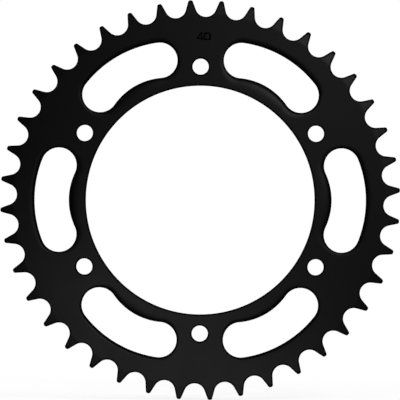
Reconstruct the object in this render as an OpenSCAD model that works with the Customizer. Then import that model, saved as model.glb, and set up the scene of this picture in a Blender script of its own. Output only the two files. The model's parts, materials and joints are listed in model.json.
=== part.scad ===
// Rear sprocket for a roller chain: one steel plate with a toothed rim, a bore that seats on the
// wheel's sprocket carrier, a circle of bolt holes, and a ring of lightening slots between the bolts.
// It turns about the Y axis. The outer face looks along -Y and the seat face along +Y, and the
// origin is the centre of the bore, midway through the plate. Sizes are in millimetres.

/* [Chain] */
// Pitch of the chain, from roller to roller
chain_pitch = 15.875; // [15:0.005:19.5]
// Diameter of the chain's rollers
roller_d = 10.16; // [8.4:0.01:12.2]

/* [Teeth] */
// Number of teeth
teeth = 40; // [36:1:50]
// How much larger on the radius the seat at the bottom of a tooth gap is than a roller
seat_clearance = 0.5; // [0.1:0.05:0.6]
// Angle of the arc that a roller seats on
seat_angle = 136; // [118:1:140]
// Width of a tooth's tip before its corners are broken
tip_land = 2; // [1.4:0.1:2.6]
// Length of the broken corner at each side of a tip
tip_break = 0.65; // [0.2:0.05:0.65]
// Thickness of the plate at the tip circle, between the two turned bevels
tip_thickness = 2.5; // [2:0.1:4.6]
// Radial height of the turned bevels, from the tip circle inwards
bevel_height = 7.4; // [4:0.1:9]

/* [Plate] */
// Thickness of the plate
plate_thickness = 5.8; // [4.8:0.1:9]
// Diameter of the bore that seats on the carrier
bore_d = 120; // [100:0.5:144]
// Chamfer at both ends of the bore
bore_chamfer = 0.6; // [0.2:0.1:1.2]

/* [Bolts] */
// Number of bolt holes, and of slots between them
bolt_count = 6; // [4:1:8]
// Diameter of a bolt hole
bolt_hole_d = 8.5; // [6.5:0.1:12.5]
// Distance from the wall of the bore to the centre of a bolt hole
bolt_inset = 10; // [8:0.5:14]
// Chamfer at both ends of a bolt hole
bolt_chamfer = 0.4; // [0.2:0.1:0.8]

/* [Slots] */
// Width of the rim between a slot and the bottoms of the tooth gaps, at the middle of the slot
rim_width = 9.1; // [7:0.1:13]
// Width of the web between a slot and the bore, at the middle of the slot
web_width = 9; // [7:0.1:12]
// Width of the spoke between two slots
spoke_width = 24.3; // [18:0.1:32]
// How far a slot's round lobes reach inside its waist
lobe_dip = 1.9; // [0.5:0.1:2.5]
// How far a slot's round lobes stay inside its outer arc
lobe_shoulder = 1.3; // [0.5:0.1:2.5]

/* [Hidden] */
$fn = 128;
// How far a cutting shape runs past the surface that it cuts
overrun = 1;

function unit(v) = v / norm(v);
function direction(angle) = [cos(angle), sin(angle)];
function turned(p, angle) = p.x * direction(angle) + p.y * direction(angle + 90);

// The tooth gap, in a frame whose +Y runs out along the middle of the gap. The bottom of the seat
// touches the root circle, and a straight flank leaves each end of the seat along its tangent.
half_step = 180 / teeth;
root_r = (chain_pitch / sin(half_step) - roller_d) / 2;
seat_r = roller_d / 2 + seat_clearance;
seat_y = root_r + seat_r;
seat_end = [0, seat_y] + seat_r * direction(seat_angle / 2 - 90);

// The tooth after that gap, in a frame whose +Y runs out along the middle of the tooth. The gap is on
// the -X side, and the flank leans towards the middle of the tooth on its way out.
flank_lean = 90 - seat_angle / 2 - half_step;
flank_foot = turned(seat_end, half_step);
tip_corner = [-tip_land / 2, flank_foot.y - (flank_foot.x + tip_land / 2) / tan(flank_lean)];
tip_r = norm(tip_corner);

// Bolts: the first hole is at the top, and a tooth stands on the radius of the hole after it
bolt_step = 360 / bolt_count;
bolt_circle_r = bore_d / 2 + bolt_inset;
first_bolt = 90;
first_tooth = first_bolt - bolt_step;

// The slot, in a frame whose +Y runs out along the middle of the slot
slot_outer_r = root_r - rim_width;
slot_waist_r = bore_d / 2 + web_width;
lobe_outer_r = slot_outer_r - lobe_shoulder;
lobe_inner_r = slot_waist_r - lobe_dip;
lobe_r = (lobe_outer_r - lobe_inner_r) / 2;
lobe_reach = (lobe_outer_r + lobe_inner_r) / 2;
lobe_angle = bolt_step / 2 - asin((spoke_width / 2 + lobe_r) / lobe_reach);
lobe_centre = lobe_reach * direction(90 - lobe_angle);
// Each arc between the lobes has its centre on the slot's middle line and touches both lobes.
// The outer arc goes round them, and the waist passes on their inner side.
outer_centre = [0, arc_centre_y(slot_outer_r - lobe_r)];
waist_centre = [0, arc_centre_y(slot_waist_r + lobe_r)];
function arc_centre_y(reach) = (reach ^ 2 - lobe_reach ^ 2) / 2 / (reach - lobe_centre.y);

// The space between two teeth: a round seat for a roller, straight flanks and broken tip corners
module tooth_gap() {
    flank_end = tip_corner - tip_break * direction(90 - flank_lean);
    tip_end = tip_corner + [tip_break, 0];
    beyond = tip_end + overrun * unit(tip_end - flank_end);
    side = [seat_end, turned(flank_end, -half_step), turned(beyond, -half_step)];
    translate([0, seat_y]) circle(seat_r);
    polygon(concat(side, [for (i = [2 : -1 : 0]) [-side[i].x, side[i].y]]));
}

// A lightening slot: two round lobes, an outer arc and a waist that bows outwards
module slot() {
    corner_y = slot_outer_r + overrun;
    corner_x = lobe_centre.x * (corner_y - outer_centre.y) / (lobe_centre.y - outer_centre.y);
    side = [lobe_centre, [corner_x, corner_y]];
    for (end = [-1, 1]) translate([end * lobe_centre.x, lobe_centre.y]) circle(lobe_r);
    difference() {
        intersection() {
            translate(outer_centre) circle(slot_outer_r - outer_centre.y);
            polygon(concat([waist_centre], side, [for (i = [1 : -1 : 0]) [-side[i].x, side[i].y]]));
        }
        translate(waist_centre) circle(slot_waist_r - waist_centre.y);
    }
}

// Puts copies of its children at equal steps round the plate, each with +Y running outwards
module around(count, first_angle) {
    for (i = [0 : count - 1]) rotate(first_angle + i * 360 / count - 90) children();
}

module at_bolts() {
    around(bolt_count, first_bolt) translate([0, bolt_circle_r]) children();
}

// The plate, as its outer face shows it
module outline() {
    difference() {
        circle(tip_r);
        around(teeth, first_tooth + half_step) tooth_gap();
        around(bolt_count, first_bolt + bolt_step / 2) slot();
        at_bolts() circle(d = bolt_hole_d);
        circle(d = bore_d);
    }
}

// What turning takes off one side of the rim
module bevel_cut() {
    face = plate_thickness / 2;
    low_r = tip_r - bevel_height;
    high_r = tip_r + overrun;
    drop = (plate_thickness - tip_thickness) / 2 * (high_r - low_r) / bevel_height;
    rotate_extrude()
        polygon([[low_r, face], [high_r, face - drop], [high_r, face + overrun], [low_r, face + overrun]]);
}

// What a countersink takes off one end of a hole of radius r
module chamfer_cut(r, size) {
    translate([0, 0, plate_thickness / 2 - size])
        cylinder(h = size + overrun, r1 = r, r2 = r + size + overrun);
}

module sprocket_plate() {
    color([0.1, 0.1, 0.1]) rotate([90, 0, 0]) difference() {
        linear_extrude(plate_thickness, center = true) outline();
        for (face = [0, 1]) mirror([0, 0, face]) {
            bevel_cut();
            chamfer_cut(bore_d / 2, bore_chamfer);
            at_bolts() chamfer_cut(bolt_hole_d / 2, bolt_chamfer);
        }
    }
}

sprocket_plate();
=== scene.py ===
import json
import math

import bpy
import numpy as np
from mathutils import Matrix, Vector
from mathutils.geometry import delaunay_2d_cdt


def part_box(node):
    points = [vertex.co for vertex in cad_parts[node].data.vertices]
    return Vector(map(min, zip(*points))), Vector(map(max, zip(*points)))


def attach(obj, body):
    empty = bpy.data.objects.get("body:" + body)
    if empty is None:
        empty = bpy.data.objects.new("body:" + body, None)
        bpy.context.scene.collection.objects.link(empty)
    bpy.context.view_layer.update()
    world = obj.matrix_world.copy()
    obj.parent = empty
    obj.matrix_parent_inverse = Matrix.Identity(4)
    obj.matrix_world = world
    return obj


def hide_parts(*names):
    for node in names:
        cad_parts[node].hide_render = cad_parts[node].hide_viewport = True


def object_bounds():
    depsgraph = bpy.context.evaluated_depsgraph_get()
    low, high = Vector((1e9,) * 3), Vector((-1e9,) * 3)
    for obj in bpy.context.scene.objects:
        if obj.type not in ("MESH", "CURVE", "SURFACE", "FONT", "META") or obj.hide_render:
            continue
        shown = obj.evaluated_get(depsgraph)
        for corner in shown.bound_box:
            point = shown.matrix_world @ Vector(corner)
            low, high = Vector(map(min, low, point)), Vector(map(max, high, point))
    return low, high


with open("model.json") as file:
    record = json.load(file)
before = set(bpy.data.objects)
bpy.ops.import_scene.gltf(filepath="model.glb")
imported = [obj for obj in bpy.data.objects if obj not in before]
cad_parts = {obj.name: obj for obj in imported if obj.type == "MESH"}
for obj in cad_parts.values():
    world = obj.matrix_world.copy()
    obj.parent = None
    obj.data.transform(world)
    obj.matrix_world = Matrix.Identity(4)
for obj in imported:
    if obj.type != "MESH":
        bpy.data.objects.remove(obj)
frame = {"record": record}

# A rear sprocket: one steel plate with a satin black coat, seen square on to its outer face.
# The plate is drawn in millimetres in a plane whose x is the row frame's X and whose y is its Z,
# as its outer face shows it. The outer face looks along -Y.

NODE = "sprocket_plate"
MM = 0.001

cad_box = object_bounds()
plate_low, plate_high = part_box(NODE)
mounts = {mount["name"]: mount for mount in frame["record"]["mounts"]}

# Taken from the frame
thickness = (plate_high.y - plate_low.y) / MM
bore_r = mounts["carrier_bore"]["dims"]["r_mm"]
bolt_circle_r = mounts["carrier_bolts"]["dims"]["pcd_mm"] / 2
bolt_hole_r = mounts["carrier_bolts"]["dims"]["hole_r_mm"]
bolt_count = mounts["carrier_bolts"]["dims"]["count"]

# Chain and teeth
teeth = 40
chain_pitch = 15.875
roller_d = 10.16
seat_clearance = 0.5
seat_angle = 136
tip_land = 2
tip_fillet_r = 1.1
tip_thickness = 2.5
bevel_height = 7.4
bevel_crown = 0.15

half_step = 180 / teeth
root_r = (chain_pitch / math.sin(math.radians(half_step)) - roller_d) / 2
seat_r = roller_d / 2 + seat_clearance
seat_centre_r = root_r + seat_r
flank_lean = 90 - seat_angle / 2 - half_step

# Slots and bolts
rim_width = 9.1
web_width = 9
spoke_width = 24.3
lobe_dip = 1.9
lobe_shoulder = 1.3

# Chamfers and rounded edges
bore_chamfer = 0.6
bolt_chamfer = 0.4
seat_round = 0.7
tip_round = 0.85
back_slot_round = 0.2

# The curled edge that the punch leaves round a slot on the outer face: its size at the slot's sides, and
# what is added to that at its waist and at its outer arc
roll_widths = (2.4, 4.8, 1.2)
roll_slopes = (0.22, 0.23, 0.21)
roll_corner_radii = (0.9, 1.9, 0.5)
roll_wall_widths = (0.45, 0.3, 0.3)
roll_wall_drops = (1.7, 0.9, 0)

# From the slot's lobes to its waist: shares of the slot's half length, and how much of the waist's addition
# is left below the lobes
lobe_share, waist_share = 0.88, 0.38
left_at_lobes = 0.3

# Where the coat is dull: in a band along a cut edge, where a curled edge is steep (in radians), near the
# tips of the teeth (distances in from the tip circle), and partly on the walls
edge_band, edge_band_ease = 0.95, 0.5
dull_tilt_start, dull_tilt_end = 0.65, 1.05
dull_tip_start, dull_tip_end = 1.7, 0.6
wall_dullness = 0.4

# The stamped number of teeth, upright above the first bolt hole
digit_foot = 83.75
digit_top = 88.0
four_left, four_right, four_stroke = -2.0, 1.3, 0.55
four_bar_rise, four_overhang = 0.75, 0.5
zero_left, zero_right, zero_stroke = 1.5, 5.3, 0.76
zero_top_r, zero_foot_r = 1.7, 1.0
stamp_depth = 0.74

bolt_step = 360 / bolt_count
first_bolt = 90
first_tooth = first_bolt - bolt_step
slot_outer_r = root_r - rim_width
slot_waist_r = bore_r + web_width
lobe_r = (slot_outer_r - lobe_shoulder - slot_waist_r + lobe_dip) / 2
lobe_reach = (slot_outer_r - lobe_shoulder + slot_waist_r - lobe_dip) / 2


# ---------------------------------------------------------------- outlines
# An outline is a closed run of points with, at each, the direction that leads into the metal.
# It runs with the metal on its left.


def direction(degrees):
    return np.array([math.cos(math.radians(degrees)), math.sin(math.radians(degrees))])


def turned(vectors, degrees):
    return vectors[:, :1] * direction(degrees) + vectors[:, 1:] * direction(degrees + 90)


def arc(centre, radius, start, end, steps, metal_outside):
    """An arc without its last point, in degrees. metal_outside is True if its centre is in the open."""
    outward = np.array([direction(a) for a in np.linspace(start, end, steps, endpoint=False)])
    return centre + radius * outward, outward if metal_outside else -outward


def line(start, end, steps, into_metal):
    """A straight line without its last point."""
    share = np.linspace(0, 1, steps, endpoint=False)[:, None]
    return start + (end - start) * share, np.tile(into_metal, (steps, 1))


def joined(*runs):
    return tuple(np.concatenate(parts) for parts in zip(*runs))


def with_mirror(points, into_metal):
    """Half an outline, and then the same half mirrored back to its start.
    A last point that is on the y axis comes once."""
    flip = np.array([-1, 1])
    last = len(points) - 1 - (abs(points[-1][0]) < 1e-9)
    return joined((points, into_metal), (points[last:0:-1] * flip, into_metal[last:0:-1] * flip))


# The right side of a tooth whose tip is on +y: its seat, and its straight flank up to the tip's corner
seat_centre = seat_centre_r * direction(90 - half_step)
seat_end = -90 - half_step - seat_angle / 2
along_flank = direction(90 + flank_lean)
into_flank = direction(180 + flank_lean)
flank_foot = seat_centre + seat_r * direction(seat_end)
flank_length = (flank_foot[0] - tip_land / 2) / math.sin(math.radians(flank_lean))
tip_corner = flank_foot + flank_length * along_flank
tip_r = np.linalg.norm(tip_corner)
bevel_start = tip_r - bevel_height
bevel_slope = (thickness - tip_thickness) / 2 / bevel_height
bevel_ease = 0.6


def tooth_outline():
    """One tooth with its tip on +y, from the middle of the gap on its right to the one on its left."""
    tangent = tip_fillet_r * math.tan(math.radians((90 - flank_lean) / 2))
    fillet_start = tip_corner - tangent * along_flank
    fillet_centre = fillet_start + tip_fillet_r * into_flank
    land_end = tip_corner - np.array([tangent, 0])
    right = joined(
        arc(seat_centre, seat_r, -90 - half_step, seat_end, steps=15, metal_outside=True),
        line(flank_foot, fillet_start, steps=7, into_metal=into_flank),
        arc(fillet_centre, tip_fillet_r, flank_lean, 90, steps=7, metal_outside=False),
        (np.array([land_end]), np.array([[0, -1.0]])),
    )
    return with_mirror(*right)


def rim_outline():
    """All the teeth."""
    points, into_metal = tooth_outline()
    turns = [first_tooth - 90 + i * 360 / teeth for i in range(teeth)]
    return joined(*[(turned(points, a), turned(into_metal, a)) for a in turns])


def arc_centre_y(crossing, lobe_centre):
    """How high on the y axis an arc is centred that crosses it at crossing and runs through lobe_centre."""
    return (crossing**2 - lobe_reach**2) / 2 / (crossing - lobe_centre[1])


def slot_outline():
    """The slot whose middle is on +y, from the middle of its outer arc round to the right."""
    offset = math.degrees(math.asin((spoke_width / 2 + lobe_r) / lobe_reach))
    lobe = lobe_reach * direction(90 - bolt_step / 2 + offset)
    outer = np.array([0, arc_centre_y(slot_outer_r - lobe_r, lobe)])
    waist = np.array([0, arc_centre_y(slot_waist_r + lobe_r, lobe)])
    outer_end = math.degrees(math.atan2(*(lobe - outer)[::-1]))
    waist_start = math.degrees(math.atan2(*(lobe - waist)[::-1]))
    right = joined(
        arc(outer, slot_outer_r - outer[1], 90, outer_end, steps=34, metal_outside=True),
        arc(lobe, lobe_r, outer_end, waist_start - 180, steps=44, metal_outside=True),
        arc(waist, slot_waist_r - waist[1], waist_start, 90, steps=24, metal_outside=False),
        (np.array([[0, slot_waist_r]]), np.array([[0, -1.0]])),
    )
    return with_mirror(*right)


def hole_outline(centre, radius, steps):
    return arc(centre, radius, 90, -270, steps, metal_outside=True)


def traced(corners):
    """A closed run of straight lines. At a corner the way into the metal is longer, so that a run set off
    along it stays parallel to both lines."""
    points = np.array(corners)
    along = np.roll(points, -1, axis=0) - points
    left = np.stack([-along[:, 1], along[:, 0]], axis=1) / np.linalg.norm(along, axis=1)[:, None]
    before = np.roll(left, 1, axis=0)
    return points, (before + left) / (1 + np.sum(before * left, axis=1))[:, None]


def four_outlines():
    """The groove of the digit 4 and the island in it."""
    bar_low = digit_foot + four_bar_rise
    bar_high = bar_low + four_stroke
    stem_right = four_right - four_overhang
    stem_left = stem_right - four_stroke
    island_top = digit_top - 1.8 * four_stroke
    groove = [
        (stem_left - 0.15, digit_top),
        (stem_right, digit_top),
        (stem_right, bar_high),
        (four_right, bar_high),
        (four_right, bar_low),
        (stem_right, bar_low),
        (stem_right, digit_foot),
        (stem_left, digit_foot),
        (stem_left, bar_low),
        (four_left, bar_low),
        (four_left, bar_high),
    ]
    island = [
        (four_left + 1.5 * four_stroke, bar_high),
        (stem_left, bar_high),
        (stem_left, island_top),
        (stem_left - 0.2, island_top),
    ]
    return [traced(groove), traced(island)]


def zero_outlines():
    """The groove of the digit 0, round at the top and squarer at the foot, and the island in it."""
    loops = []
    for inset in (0, zero_stroke):
        top_r, foot_r = zero_top_r - inset, zero_foot_r - inset
        low, high = digit_foot + inset, digit_top - inset
        left, right = zero_left + inset, zero_right - inset
        loop = []
        for x, y, radius, start in (
            (right - top_r, high - top_r, top_r, 90),
            (right - foot_r, low + foot_r, foot_r, 0),
            (left + foot_r, low + foot_r, foot_r, -90),
            (left + top_r, high - top_r, top_r, 180),
        ):
            loop += [(x, y) + radius * direction(a) for a in np.linspace(start, start - 90, 7)]
        loops.append(loop)
    return [traced(loops[0]), traced(loops[1][::-1])]


# ---------------------------------------------------------------- edges
# An edge is a list of rings from the face to the wall. Each ring has its distance from the wall,
# its depth below the face, its tilt, in radians, from lying in the face to standing in the wall, and
# how dull its coat is, from 0 on a face to 1.


def rise(value, start, end):
    """From 0 where value is at start to 1 where it is at end, and level past both."""
    return np.clip((value - start) / (end - start), 0, 1)


def dulled(across):
    """The coat is dull along a cut edge, and shiny again at the far side of the band."""
    return rise(across, edge_band, edge_band - edge_band_ease)


def rolled_edge(roll_width, roll_slope, corner_r, wall_width, wall_drop):
    """A face that curls down more and more steeply, turns a round corner, and leans into the wall."""
    roll_tilt, wall_tilt = np.arctan(roll_slope), np.arctan2(wall_drop, wall_width)
    corner_start = wall_width + corner_r * (np.sin(wall_tilt) - np.sin(roll_tilt))
    roll_depth = roll_slope * (roll_width - corner_start) / 3
    rings = []
    for share in np.linspace(0, 1, 9, endpoint=False):
        across = roll_width + (corner_start - roll_width) * share
        rings.append((across, roll_depth * share**3, np.arctan(roll_slope * share**2), 0.0))
    for tilt in np.linspace(roll_tilt, wall_tilt, 8):
        across = wall_width + corner_r * (np.sin(wall_tilt) - np.sin(tilt))
        depth = roll_depth + corner_r * (np.cos(roll_tilt) - np.cos(tilt))
        rings.append((across, depth, tilt, rise(tilt, dull_tilt_start, dull_tilt_end)))
    rings.append((0.15 * wall_width, depth + 0.85 * wall_drop, wall_tilt, 1.0))
    return rings + [(0.0, depth + wall_drop, math.pi / 2, 1.0)]


def round_edge(radius):
    """A face that turns into the wall through a quarter circle."""
    rings = [(edge_band, 0.0, 0.0, 0.0)]
    for tilt in np.linspace(0, math.pi / 2, 6):
        across = radius * (1 - np.sin(tilt))
        rings.append((across, radius * (1 - np.cos(tilt)), tilt, dulled(across)))
    return rings


def chamfered_edge(size):
    """A countersink at 45 degrees whose two corners are eased."""
    ease = 0.4 * size
    slope = math.pi / 4
    return [
        (edge_band, 0.0, 0.0, 0.0),
        (size + ease, 0.0, 0.0, dulled(size + ease)),
        (size - ease, ease, slope, 1.0),
        (ease, size - ease, slope, 1.0),
        (0.0, size + ease, math.pi / 2, 1.0),
    ]


def stamped_edge(stroke):
    """The steep side of a stamped groove, from just outside its brim to its floor."""
    return [
        (0.08, 0.0, 0.0, 0.0),
        (0.0, 0.06, 0.9, 1.0),
        (-0.32 * stroke, stamp_depth - 0.02, 1.2, 1.0),
        (-0.36 * stroke, stamp_depth, 0.0, 1.0),
    ]


# ---------------------------------------------------------------- mesh


class Mesh:
    """The plate's points, with their normals and how dull the coat is there, and its faces."""

    def __init__(self):
        self.points, self.normals, self.dull, self.faces = [], [], [], []

    def add(self, flat, y, tilt_xz, normal_y, dull):
        """Adds points with their normals, and returns their numbers."""
        first = len(self.points)
        for (x, z), height, (nx, nz), ny in zip(flat, y, tilt_xz, normal_y):
            self.points.append((x * MM, height * MM, z * MM))
            self.normals.append(Vector((nx, ny, nz)).normalized())
        self.dull.extend(np.broadcast_to(dull, len(flat)))
        return np.arange(first, len(self.points))

    def bridge(self, ring, following):
        """Adds a band of faces between two rings that match point for point."""
        after, after_following = np.roll(ring, -1), np.roll(following, -1)
        band = zip(ring, following, after_following, after)
        self.faces += [tuple(int(i) for i in quad) for quad in band]


def face_height(radius):
    """Half the plate's thickness, and the face's slope outwards, at a distance from the centre."""
    past = radius - bevel_start
    share = np.clip(past / bevel_height, 0, None)
    first_slope = bevel_slope * (1 - bevel_crown)
    near = rise(past, -bevel_ease, bevel_ease)
    slope = first_slope * near + 2 * bevel_slope * bevel_crown * share
    drop = first_slope * np.where(near < 1, bevel_ease * near**2, past)
    return thickness / 2 - drop - bevel_slope * bevel_crown * bevel_height * share**2, slope


def face_ring(mesh, side, points, into_metal, ring):
    """A ring of an edge on one face: side is -1 for the outer face and 1 for the seat face. The coat is
    also dull at the tips of the teeth."""
    across, depth, tilt, dull = (np.broadcast_to(value, len(points)) for value in ring)
    flat = points + into_metal * across[:, None]
    radius = np.linalg.norm(flat, axis=1)
    height, slope = face_height(radius)
    dull = np.maximum(dull, rise(radius, tip_r - dull_tip_start, tip_r - dull_tip_end))
    lean = np.arctan(slope)
    outward = flat / radius[:, None]
    in_plane = outward * (np.sin(lean) * np.cos(tilt))[:, None] - into_metal * np.sin(tilt)[:, None]
    return mesh.add(flat, side * (height - depth), in_plane, side * np.cos(lean) * np.cos(tilt), dull)


def sweep(mesh, outline, front_edge, back_edge):
    """Runs an edge along an outline, down its wall and round to the other face. Returns the ring on each
    face that lies farthest from the wall."""
    points, into_metal = outline
    front = [face_ring(mesh, -1, points, into_metal, ring) for ring in front_edge]
    back = [face_ring(mesh, 1, points, into_metal, ring) for ring in reversed(back_edge)]
    top = np.array([mesh.points[i][1] for i in front[-1]]) / MM
    bottom = np.array([mesh.points[i][1] for i in back[0]]) / MM
    wall = []
    for share in (0.25, 0.5, 0.75):
        height = top + (bottom - top) * share
        wall.append(mesh.add(points, height, -into_metal, np.zeros(len(points)), wall_dullness))
    rings = front + wall + back
    for ring, following in zip(rings, rings[1:]):
        mesh.bridge(ring, following)
    return front[0], back[-1]


def inside(points, starts, ends):
    """Which points lie in the metal: from there, a ray towards +x crosses the outlines an odd number
    of times."""
    crossings = np.zeros(len(points), int)
    for (ax, ay), (bx, by) in zip(starts, ends):
        if ay == by:
            continue
        share = (points[:, 1] - ay) / (by - ay)
        crossings += (share >= 0) & (share < 1) & (points[:, 0] < ax + (bx - ax) * share)
    return crossings % 2 == 1


def fill(mesh, side, rings, loose):
    """Fills one face between rings, through some loose points, with triangles."""
    same_point = 1e-6
    chosen = np.concatenate([*rings, loose]).astype(int)
    flat = np.array([(mesh.points[i][0] / MM, mesh.points[i][2] / MM) for i in chosen])
    edges, start = [], 0
    for ring in rings:
        edges += [(start + i, start + (i + 1) % len(ring)) for i in range(len(ring))]
        start += len(ring)
    _, _, triangles, origin, _, _ = delaunay_2d_cdt([Vector(p) for p in flat], edges, [], 0, same_point)
    triangles = np.array([[origin[i][0] for i in triangle] for triangle in triangles])
    middles = flat[triangles].mean(axis=1)
    starts, ends = (flat[[edge[end] for edge in edges]] for end in (0, 1))
    for triangle in triangles[inside(middles, starts, ends)]:
        a, b, c = flat[triangle]
        anticlockwise = np.cross(b - a, c - a) > 0
        ids = [int(i) for i in chosen[triangle]]
        mesh.faces.append(tuple(ids if anticlockwise == (side < 0) else ids[::-1]))


def bevel_points(mesh, side):
    """Loose points that carry the start of the bevel across each tooth, and the bevel up its middle."""
    seats = [seat_centre_r * direction(end) for end in (-half_step, half_step)]
    clear_of_seat = seat_r + 1.2
    turn_step, radius_step = 0.2, 1
    flat = []
    for i in range(teeth):
        axis = first_tooth + i * 360 / teeth
        for radius in bevel_start + bevel_ease * np.array([-1, 0, 1]):
            for turn in np.arange(-half_step, half_step, turn_step):
                if min(np.linalg.norm(radius * direction(turn) - seat) for seat in seats) > clear_of_seat:
                    flat.append(radius * direction(axis + turn))
        for radius in np.arange(bevel_start + radius_step, tip_r - 1.5, radius_step):
            flat.append(radius * direction(axis))
    flat = np.array(flat)
    return face_ring(mesh, side, flat, np.zeros_like(flat), (0.0, 0.0, 0.0, 0.0))


def slot_edge(points, into_metal):
    """The punch drags the face down round a slot: most at its waist, less below its lobes and at its
    outer arc, least at its sides. The roll ends before it meets the bore's chamfer."""
    along = np.abs(points[:, 0]) / points[:, 0].max()
    middle = rise(along, lobe_share, waist_share)
    waist = np.clip(-into_metal[:, 1], 0, 1) ** 3 * (left_at_lobes + (1 - left_at_lobes) * middle)
    outer = np.clip(into_metal[:, 1], 0, 1) ** 2
    room = np.linalg.norm(points, axis=1) - bore_r - 2 * bore_chamfer

    def around(sizes):
        at_sides, added_at_waist, added_at_outer = sizes
        return at_sides + added_at_waist * waist + added_at_outer * outer

    return rolled_edge(
        roll_width=np.minimum(around(roll_widths), room),
        roll_slope=around(roll_slopes),
        corner_r=around(roll_corner_radii),
        wall_width=around(roll_wall_widths),
        wall_drop=around(roll_wall_drops),
    )


def plate_mesh():
    """Sweeps an edge along every outline, then fills both faces and the floors of the stamped digits."""
    mesh = Mesh()
    rim, rim_in = rim_outline()
    up_tooth = (np.linalg.norm(rim, axis=1) - root_r) / (tip_r - root_r)
    rim_edge = round_edge(seat_round + (tip_round - seat_round) * up_tooth**2)
    rings = [sweep(mesh, (rim, rim_in), rim_edge, rim_edge)]
    slot, slot_in = slot_outline()
    slot_front, slot_back = slot_edge(slot, slot_in), round_edge(back_slot_round)
    for i in range(bolt_count):
        turn = first_bolt + (i + 0.5) * bolt_step - 90
        rings.append(sweep(mesh, (turned(slot, turn), turned(slot_in, turn)), slot_front, slot_back))
    hole_edge = chamfered_edge(bolt_chamfer)
    for i in range(bolt_count):
        centre = bolt_circle_r * direction(first_bolt + i * bolt_step)
        rings.append(sweep(mesh, hole_outline(centre, bolt_hole_r, 64), hole_edge, hole_edge))
    bore_edge = chamfered_edge(bore_chamfer)
    rings.append(sweep(mesh, hole_outline(np.zeros(2), bore_r, 360), bore_edge, bore_edge))
    brims, floors = [], []
    for outlines, stroke in ((four_outlines(), four_stroke), (zero_outlines(), zero_stroke)):
        for outline in outlines:
            sides = [face_ring(mesh, -1, *outline, ring) for ring in stamped_edge(stroke)]
            for ring, following in zip(sides, sides[1:]):
                mesh.bridge(ring, following)
            brims.append(sides[0])
            floors.append(sides[-1])
    fill(mesh, -1, [front for front, _ in rings] + brims, bevel_points(mesh, -1))
    fill(mesh, -1, floors, [])
    fill(mesh, 1, [back for _, back in rings], bevel_points(mesh, 1))
    return mesh


def make_plate():
    """The plate as an object, with its own normals, and its dullness as an attribute."""
    mesh = plate_mesh()
    data = bpy.data.meshes.new("plate")
    data.from_pydata(mesh.points, [], mesh.faces)
    data.polygons.foreach_set("use_smooth", [True] * len(data.polygons))
    data.normals_split_custom_set_from_vertices(mesh.normals)
    data.attributes.new("dull", "FLOAT", "POINT").data.foreach_set("value", mesh.dull)
    plate = bpy.data.objects.new("plate", data)
    bpy.context.scene.collection.objects.link(plate)
    return plate


# ---------------------------------------------------------------- materials


class Shader:
    """Adds nodes to a tree. inputs gives each input's value, or the output that is linked to it, and a
    keyword gives a setting of the node."""

    def __init__(self, tree):
        self.tree = tree
        tree.nodes.clear()

    def add(self, kind, inputs=(), **settings):
        node = self.tree.nodes.new(kind)
        for name, value in settings.items():
            setattr(node, name, value)
        for name, value in dict(inputs).items():
            if isinstance(value, bpy.types.NodeSocket):
                self.tree.links.new(value, node.inputs[name])
            else:
                node.inputs[name].default_value = value
        return node

    def math(self, operation, first, second=0.0):
        return self.add("ShaderNodeMath", {0: first, 1: second}, operation=operation).outputs[0]

    def mix(self, share, low, high):
        return self.add("ShaderNodeMix", {0: share, 2: low, 3: high}).outputs[0]

    def ramp(self, value, start, end, low=0.0, high=1.0):
        sockets = {"Value": value, "From Min": start, "From Max": end, "To Min": low, "To Max": high}
        return self.add("ShaderNodeMapRange", sockets, interpolation_type="SMOOTHSTEP").outputs[0]

    def noise(self, where, scale, detail):
        sockets = {"Vector": where, "Scale": scale, "Detail": detail}
        return self.add("ShaderNodeTexNoise", sockets).outputs[0]

    def scaled(self, vector, factors):
        return self.add("ShaderNodeVectorMath", {0: vector, 1: factors}, operation="MULTIPLY").outputs[0]

    def length(self, vector):
        return self.add("ShaderNodeVectorMath", {0: vector}, operation="LENGTH").outputs["Value"]

    def bump(self, height, strength, distance, **onto):
        sockets = {"Height": height, "Strength": strength, "Distance": distance, **onto}
        return self.add("ShaderNodeBump", sockets).outputs[0]


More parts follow.
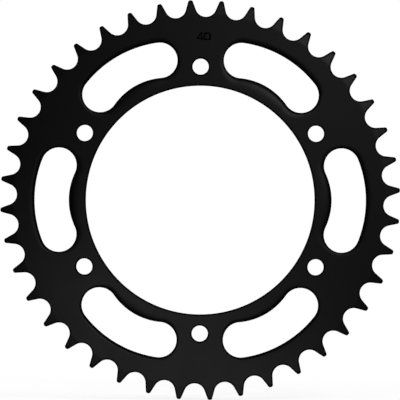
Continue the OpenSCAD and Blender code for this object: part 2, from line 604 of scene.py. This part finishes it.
def black_coat():
    """Satin black with a fine grain, turned marks on the bevels, dull edges and streaked walls. Its
    lengths are in metres."""
    material = bpy.data.materials.new("black_coat")
    material.use_nodes = True
    shader = Shader(material.node_tree)
    coordinates = shader.add("ShaderNodeTexCoord").outputs
    where = coordinates["Object"]
    radius = shader.length(shader.scaled(where, (1, 0, 1)))
    normal_y = shader.add("ShaderNodeSeparateXYZ", {0: coordinates["Normal"]}).outputs["Y"]
    face = shader.ramp(shader.math("ABSOLUTE", normal_y), 0.35, 0.8)
    dull = shader.add("ShaderNodeAttribute", attribute_name="dull").outputs["Fac"]
    past_start = shader.ramp(radius, bevel_start * MM, (bevel_start + 0.5) * MM)
    bevel = shader.math("MULTIPLY", face, past_start)

    grain = shader.noise(where, 1800.0, 3.0)
    mottle = shader.noise(where, 45.0, 4.0)
    turning = shader.add(
        "ShaderNodeTexNoise", {"W": radius, "Scale": 2600.0, "Detail": 2.0}, noise_dimensions="1D"
    ).outputs[0]
    streaks = shader.noise(shader.scaled(where, (1, 0.04, 1)), 1500.0, 2.0)

    turned_height = shader.math("MULTIPLY", turning, bevel)
    wall_height = shader.math("MULTIPLY", streaks, shader.math("SUBTRACT", 1.0, face))
    normal = shader.bump(grain, 0.25, 0.00002)
    normal = shader.bump(turned_height, 0.3, 0.00003, Normal=normal)
    normal = shader.bump(wall_height, 0.5, 0.00006, Normal=normal)

    rough = shader.ramp(mottle, 0.3, 0.7, 0.59, 0.64)
    coat = shader.add(
        "ShaderNodeBsdfPrincipled",
        {
            "Base Color": (0.0005, 0.0005, 0.00049, 1),
            "Roughness": shader.mix(dull, rough, 1.0),
            "Specular IOR Level": shader.mix(dull, 0.5, 0.06),
            "Specular Tint": (1.0, 1.0, 0.99, 1),
            "Normal": normal,
        },
    )
    shader.add("ShaderNodeOutputMaterial", {"Surface": coat.outputs[0]})
    return material


# ---------------------------------------------------------------- studio


def make_world():
    """White to the camera, and an even fill on matt surfaces. Gloss sees a room that is dark in front, dim
    above, below and behind, and that has a white card right behind the object."""
    world = bpy.data.worlds.new("studio")
    world.use_nodes = True
    world.cycles.sampling_method = "NONE"
    shader = Shader(world.node_tree)
    path = shader.add("ShaderNodeLightPath").outputs
    seen = shader.math("MAXIMUM", path["Is Camera Ray"], path["Is Transmission Ray"])
    ray = shader.add("ShaderNodeTexCoord").outputs["Generated"]
    towards = shader.add("ShaderNodeSeparateXYZ", {0: ray}).outputs
    dark, dim, dim_behind = 0.002, 0.06, 0.15
    above_or_below = shader.ramp(shader.math("ABSOLUTE", towards["Z"]), 0.6, 0.95, dark, dim)
    behind = shader.ramp(towards["Y"], 0.0, 0.9, dark, dim_behind)
    card = shader.ramp(towards["Y"], 0.93, 0.99)
    room = shader.math("MAXIMUM", card, shader.math("ADD", above_or_below, behind))
    fill_light = 0.9
    lit = shader.mix(path["Is Glossy Ray"], fill_light, room)
    strength = shader.mix(seen, lit, 1.0)
    background = shader.add("ShaderNodeBackground", {"Color": (1, 1, 1, 1), "Strength": strength})
    shader.add("ShaderNodeOutputWorld", {"Surface": background.outputs[0]})
    bpy.context.scene.world = world


def make_lamp(name, place, aim, spread, intensity):
    """A round soft lamp with a grid that narrows its beam to spread, in degrees. intensity, in W/sr, is
    that of the beam's middle."""
    half = math.radians(spread) / 2
    data = bpy.data.lights.new(name, "AREA")
    data.shape = "DISK"
    data.size = 0.06
    data.spread = 2 * half
    data.energy = intensity * math.pi * (1 - half / math.tan(half))
    lamp = bpy.data.objects.new(name, data)
    lamp.location = place
    lamp.rotation_euler = (Vector(place) - Vector(aim)).to_track_quat("Z", "Y").to_euler()
    lamp.visible_camera = False
    bpy.context.scene.collection.objects.link(lamp)


def make_floor(low):
    """A pale disc that keeps the object's shadow. The camera sees it partly as plain white, and wholly so
    far from the object. It is clear from below."""
    data = bpy.data.meshes.new("floor")
    floor_r = 0.8
    ring = [(floor_r * math.cos(a), floor_r * math.sin(a), low) for a in np.radians(np.arange(0, 360, 5))]
    data.from_pydata(ring, [], [tuple(range(len(ring)))])
    floor = bpy.data.objects.new("floor", data)
    bpy.context.scene.collection.objects.link(floor)
    floor.visible_glossy = False
    floor.visible_shadow = False
    material = bpy.data.materials.new("pale_floor")
    material.use_nodes = True
    shader = Shader(material.node_tree)
    away = shader.length(shader.add("ShaderNodeTexCoord").outputs["Object"])
    path = shader.add("ShaderNodeLightPath").outputs
    white_share = shader.ramp(away, 0.12, 0.36, 0.76, 1.0)
    whiter = shader.math("MULTIPLY", path["Is Camera Ray"], white_share)
    paint = shader.add("ShaderNodeBsdfDiffuse", {"Color": (0.97, 0.97, 0.97, 1)}).outputs[0]
    white = shader.add("ShaderNodeEmission", {"Color": (1, 1, 1, 1), "Strength": 1.0}).outputs[0]
    top = shader.add("ShaderNodeMixShader", {0: whiter, 1: paint, 2: white}).outputs[0]
    clear = shader.add("ShaderNodeBsdfTransparent").outputs[0]
    backfacing = shader.add("ShaderNodeNewGeometry").outputs["Backfacing"]
    under = shader.math("MULTIPLY", path["Is Camera Ray"], backfacing)
    both = shader.add("ShaderNodeMixShader", {0: under, 1: top, 2: clear}).outputs[0]
    shader.add("ShaderNodeOutputMaterial", {"Surface": both})
    data.materials.append(material)


def make_camera(face_y):
    """Square on to the outer face, from far enough that the walls of the slots hardly show."""
    data = bpy.data.cameras.new("camera")
    distance = 2.0
    frame_width = 0.2095
    off_x, off_z = -0.0001, 0.00005
    roll = -0.2
    data.sensor_width = 36
    data.lens = data.sensor_width * distance / frame_width
    data.clip_end = 20
    camera = bpy.data.objects.new("camera", data)
    camera.location = (off_x, face_y - distance, off_z)
    camera.rotation_euler = (math.radians(90), math.radians(roll), 0)
    bpy.context.scene.collection.objects.link(camera)
    bpy.context.scene.camera = camera


plate = make_plate()
plate.data.materials.append(black_coat())
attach(plate, "root")
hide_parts(NODE)

make_world()
make_lamp("key_lamp", (0.206, -0.284, 0.25), (-0.004, 0, -0.006), 70, 0.208)
make_lamp("low_lamp", (-0.072, -0.169, -0.077), (-0.025, 0, -0.056), 69, 0.016)
make_lamp("under_lamp", (0.055, -0.179, -0.156), (0.003, 0, -0.12), 69, 0.026)
make_floor(cad_box[0].z)
make_camera(plate_low.y)
bpy.context.scene.view_settings.view_transform = "Standard"
